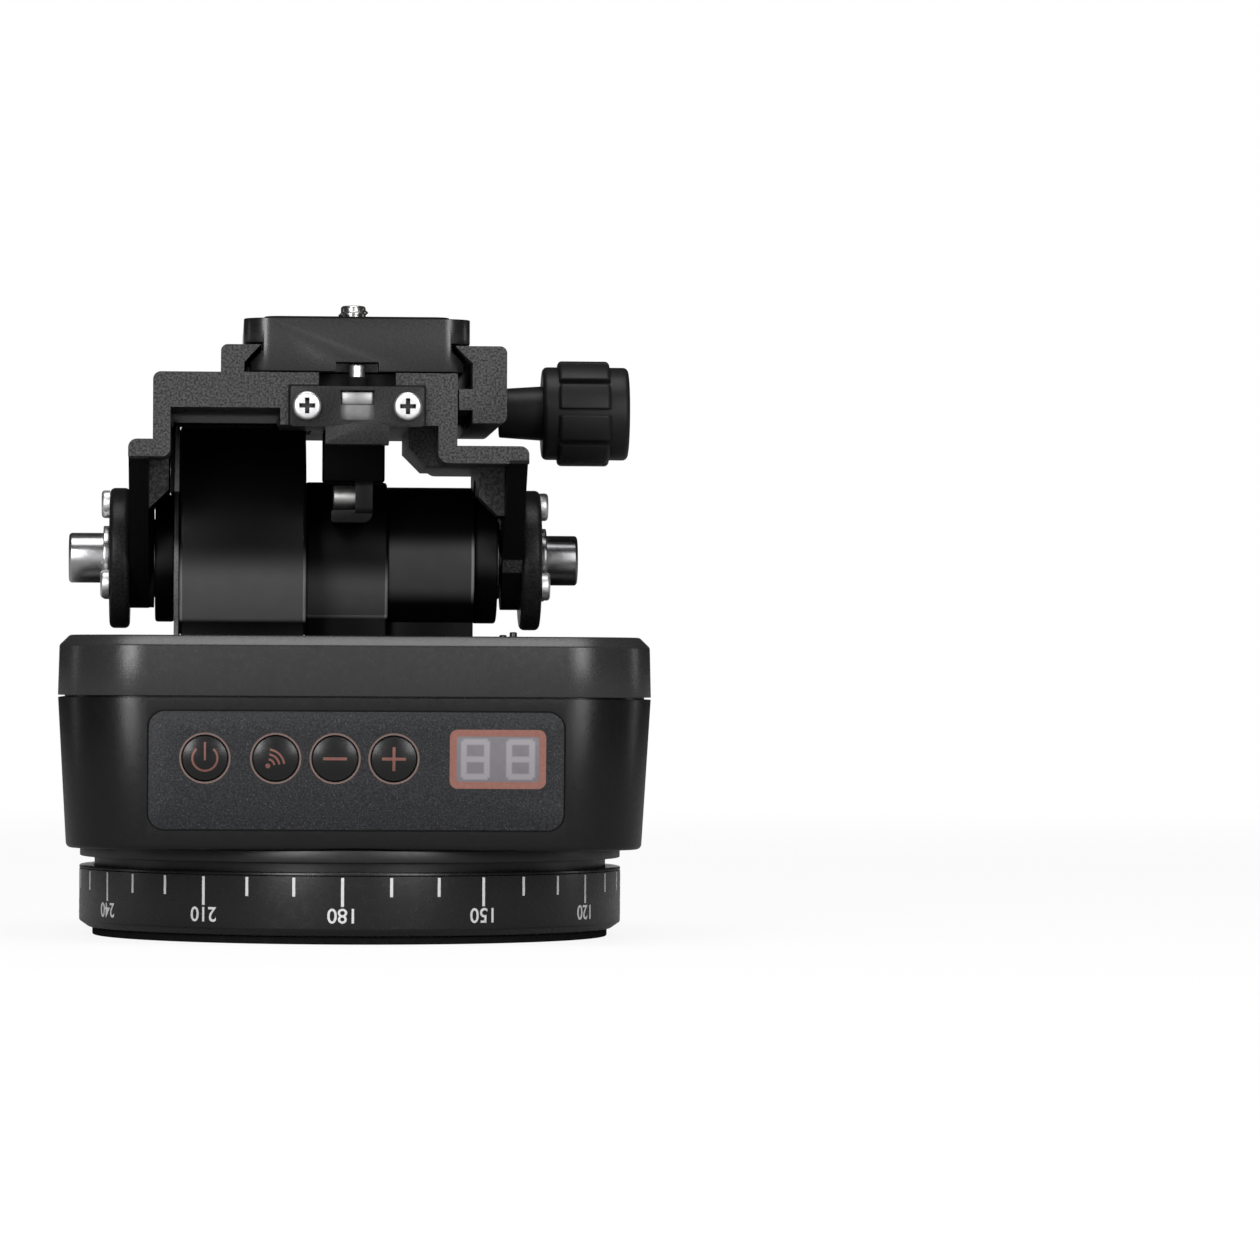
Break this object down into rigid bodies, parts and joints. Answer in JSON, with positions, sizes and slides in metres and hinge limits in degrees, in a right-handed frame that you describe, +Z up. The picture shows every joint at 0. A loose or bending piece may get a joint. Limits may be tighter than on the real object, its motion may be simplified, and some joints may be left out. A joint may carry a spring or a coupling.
{
  "type": "remote pan tilt head",
  "caption": "Motorised pan and tilt camera head: round base with a degree ring, square housing, tilting cradle with a clamped quick release plate and a camera screw.",
  "frame": {"origin": "centre of the underside of the rubber foot, on the pan axis", "axes": "+Z up along the pan axis, -Y out of the control panel, +X to the operator's right, along the tilt axis"},
  "size_m": [0.1226, 0.118, 0.1338],
  "materials": {
    "black_plastic": "satin black moulded plastic",
    "panel_film": "printed dark blue-grey film",
    "foot_rubber": "matt black rubber",
    "cradle_metal": "blasted and black anodised aluminium",
    "plate_metal": "smooth black anodised aluminium",
    "screw_chrome": "bright chrome plate",
    "bright_steel": "turned steel",
    "gear_brass": "machined brass",
    "window_clear": "frosted pale grey plastic",
    "board_green": "green circuit board",
    "cell_wrap": "blue shrink wrap",
    "module_white": "white plastic"
  },
  "bodies": {
    "base": {"rubber_foot": "foot_rubber", "base_ring": "black_plastic", "tripod_bush": "gear_brass", "pan_bearing": "bright_steel", "pan_gear": "bright_steel"},
    "head": {"turntable": "black_plastic", "lower_housing": "black_plastic", "upper_cover": "black_plastic", "control_panel": "panel_film", "display_window": "window_clear", "display_module": "module_white", "button_board": "board_green", "main_board": "board_green", "battery_pack": "cell_wrap", "pan_motor": "bright_steel", "charge_socket": "black_plastic", "gear_case": "black_plastic", "gear_case_cover": "cradle_metal", "middle_shell": "black_plastic", "motor_shell": "black_plastic", "tilt_motor": "bright_steel", "left_collar": "black_plastic", "right_collar": "black_plastic", "left_bearing": "bright_steel", "right_bearing": "bright_steel", "mid_gear_axle": "bright_steel", "stop_pin": "bright_steel", "stop_bracket": "black_plastic"},
    "pan_pinion": {"pan_pinion": "gear_brass"},
    "power_button": {"power_button": "black_plastic"},
    "channel_button": {"channel_button": "black_plastic"},
    "minus_button": {"minus_button": "black_plastic"},
    "plus_button": {"plus_button": "black_plastic"},
    "tilt_pinion": {"tilt_pinion": "gear_brass"},
    "tilt_mid_gear": {"tilt_mid_gear": "gear_brass"},
    "cradle": {"cradle": "cradle_metal", "left_shaft": "screw_chrome", "right_shaft": "screw_chrome", "left_disc": "cradle_metal", "right_disc": "cradle_metal", "lock_cover": "cradle_metal", "left_lock_screw": "screw_chrome", "right_lock_screw": "screw_chrome", "lock_spring": "bright_steel", "stop_block": "black_plastic", "tilt_output_gear": "gear_brass", "left_disc_screw_1": "screw_chrome", "left_disc_screw_2": "screw_chrome", "left_disc_screw_3": "screw_chrome", "right_disc_screw_1": "screw_chrome", "right_disc_screw_2": "screw_chrome", "right_disc_screw_3": "screw_chrome"},
    "lock": {"lock_slider": "bright_steel", "lock_pin": "screw_chrome"},
    "jaw": {"clamp_jaw": "cradle_metal"},
    "knob": {"clamp_knob": "black_plastic", "clamp_screw": "bright_steel"},
    "plate": {"release_plate": "plate_metal", "plate_pad": "foot_rubber"},
    "camera_screw": {"camera_screw": "bright_steel"}
  },
  "joints": [
    {"name": "pan", "type": "hinge", "parent": "base", "child": "head", "pos_m": [0, 0, 0.0174], "axis": [0, 0, 1], "continuous": true},
    {"name": "pan_pinion_spin", "type": "hinge", "parent": "head", "child": "pan_pinion", "pos_m": [0, 0.026, 0.024], "axis": [0, 0, 1], "continuous": true},
    {"name": "power_press", "type": "slide", "parent": "head", "child": "power_button", "axis": [0, 0.9985, 0.0551], "range_m": [0, 0.0005], "stiffness_N_per_m": 400, "springref_m": -0.0002},
    {"name": "channel_press", "type": "slide", "parent": "head", "child": "channel_button", "axis": [0, 0.9985, 0.0551], "range_m": [0, 0.0005], "stiffness_N_per_m": 400, "springref_m": -0.0002},
    {"name": "minus_press", "type": "slide", "parent": "head", "child": "minus_button", "axis": [0, 0.9985, 0.0551], "range_m": [0, 0.0005], "stiffness_N_per_m": 400, "springref_m": -0.0002},
    {"name": "plus_press", "type": "slide", "parent": "head", "child": "plus_button", "axis": [0, 0.9985, 0.0551], "range_m": [0, 0.0005], "stiffness_N_per_m": 400, "springref_m": -0.0002},
    {"name": "tilt", "type": "hinge", "parent": "head", "child": "cradle", "pos_m": [0, 0, 0.0798], "axis": [1, 0, 0], "range_deg": [-15, 15]},
    {"name": "tilt_mid_gear_spin", "type": "hinge", "parent": "head", "child": "tilt_mid_gear", "pos_m": [-0.018, 0, 0.0938], "axis": [1, 0, 0], "range_deg": [-36, 36]},
    {"name": "tilt_pinion_spin", "type": "hinge", "parent": "head", "child": "tilt_pinion", "pos_m": [-0.016, 0, 0.0798], "axis": [1, 0, 0], "range_deg": [-83, 83]},
    {"name": "lock_slide", "type": "slide", "parent": "cradle", "child": "lock", "axis": [0, 0, -1], "range_m": [0, 0.003], "stiffness_N_per_m": 300, "springref_m": -0.002, "deforming": ["lock_spring"]},
    {"name": "jaw_slide", "type": "slide", "parent": "cradle", "child": "jaw", "axis": [1, 0, 0], "range_m": [0, 0.0035]},
    {"name": "knob_spin", "type": "hinge", "parent": "jaw", "child": "knob", "pos_m": [0.045, 0, 0.1112], "axis": [1, 0, 0], "range_deg": [0, 1270]},
    {"name": "plate_slide", "type": "slide", "parent": "cradle", "child": "plate", "axis": [0, 1, 0], "range_m": [0, 0.095]},
    {"name": "camera_screw_spin", "type": "hinge", "parent": "plate", "child": "camera_screw", "pos_m": [0, 0, 0.126], "axis": [0, 0, 1], "continuous": true}
  ],
  "couplings": [
    {"joint": "pan_pinion_spin", "follows": "pan", "ratio": 3.3333},
    {"joint": "tilt_mid_gear_spin", "follows": "tilt", "ratio": -2.3333},
    {"joint": "tilt_pinion_spin", "follows": "tilt", "ratio": 5.4444},
    {"joint": "knob_spin", "follows": "jaw_slide", "rad_per_m": 6283.2}
  ]
}
